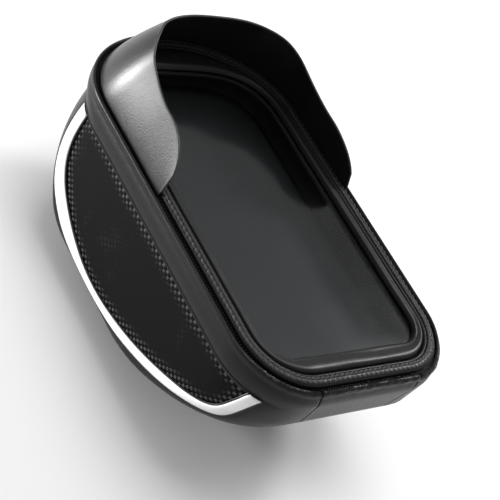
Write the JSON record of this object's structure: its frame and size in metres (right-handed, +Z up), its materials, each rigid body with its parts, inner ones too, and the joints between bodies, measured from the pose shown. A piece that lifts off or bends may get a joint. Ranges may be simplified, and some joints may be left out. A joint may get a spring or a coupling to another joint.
{
  "type": "bicycle phone bag",
  "caption": "Hard-shell handlebar bag with a zipped lid, clear phone window, sun visor, reflective side strips and strap-on base.",
  "frame": {"origin": "middle of the footprint, on the surface that the straps under the bag rest on", "axes": "+Z up, square to the window; +Y lengthwise from the rider's end to the visor; +X across the bag"},
  "size_m": [0.1161, 0.1944, 0.1066],
  "materials": {
    "leatherette": "smooth satin",
    "twill_leatherette": "embossed twill",
    "reflective_tape": "reflective",
    "lining_fabric": "woven",
    "zip_plastic": "satin",
    "slider_metal": "black satin",
    "base_rubber": "matte",
    "webbing": "woven",
    "gloss_border": "gloss",
    "clear_film": "clear gloss",
    "stiff_board": "matte",
    "visor_sheet": "fine grain"
  },
  "bodies": {
    "shell": {"hull": "leatherette", "inner_lining": "lining_fabric", "upper_band": "leatherette", "side_panel_left": "twill_leatherette", "side_panel_right": "twill_leatherette", "reflective_strip_left": "reflective_tape", "reflective_strip_right": "reflective_tape", "zip_tape_shell": "lining_fabric", "zip_coil_shell": "zip_plastic", "lid_hinge_tape": "lining_fabric", "saddle_pad": "base_rubber", "strap_left": "webbing", "strap_right": "webbing"},
    "lid": {"lid_binding": "leatherette", "window_border": "gloss_border", "clear_window": "clear_film", "lid_frame": "stiff_board", "zip_tape_lid": "lining_fabric", "zip_coil_lid": "zip_plastic", "pocket_wall": "lining_fabric", "pocket_back": "lining_fabric", "pocket_tab": "webbing", "visor": "visor_sheet"},
    "slider_a": {"zip_slider_a": "slider_metal"},
    "slider_b": {"zip_slider_b": "slider_metal"},
    "pull_a": {"pull_tab_a": "zip_plastic"},
    "pull_b": {"pull_tab_b": "zip_plastic"}
  },
  "joints": [
    {"name": "lid_hinge", "type": "hinge", "parent": "shell", "child": "lid", "pos_m": [0, 0.0955, 0.0761], "axis": [-1, 0, 0], "range_deg": [0, 95]},
    {"name": "zip_slide_a", "type": "slide", "parent": "shell", "child": "slider_a", "axis": [0, -1, 0], "range_m": [0, 0.079]},
    {"name": "zip_slide_b", "type": "slide", "parent": "shell", "child": "slider_b", "axis": [0, 1, 0], "range_m": [0, 0.016]},
    {"name": "pull_swing_a", "type": "hinge", "parent": "slider_a", "child": "pull_a", "pos_m": [0.058, 0.019, 0.077], "axis": [0, -1, 0], "range_deg": [0, 135]},
    {"name": "pull_swing_b", "type": "hinge", "parent": "slider_b", "child": "pull_b", "pos_m": [0.058, 0.031, 0.077], "axis": [0, -1, 0], "range_deg": [0, 135]}
  ]
}
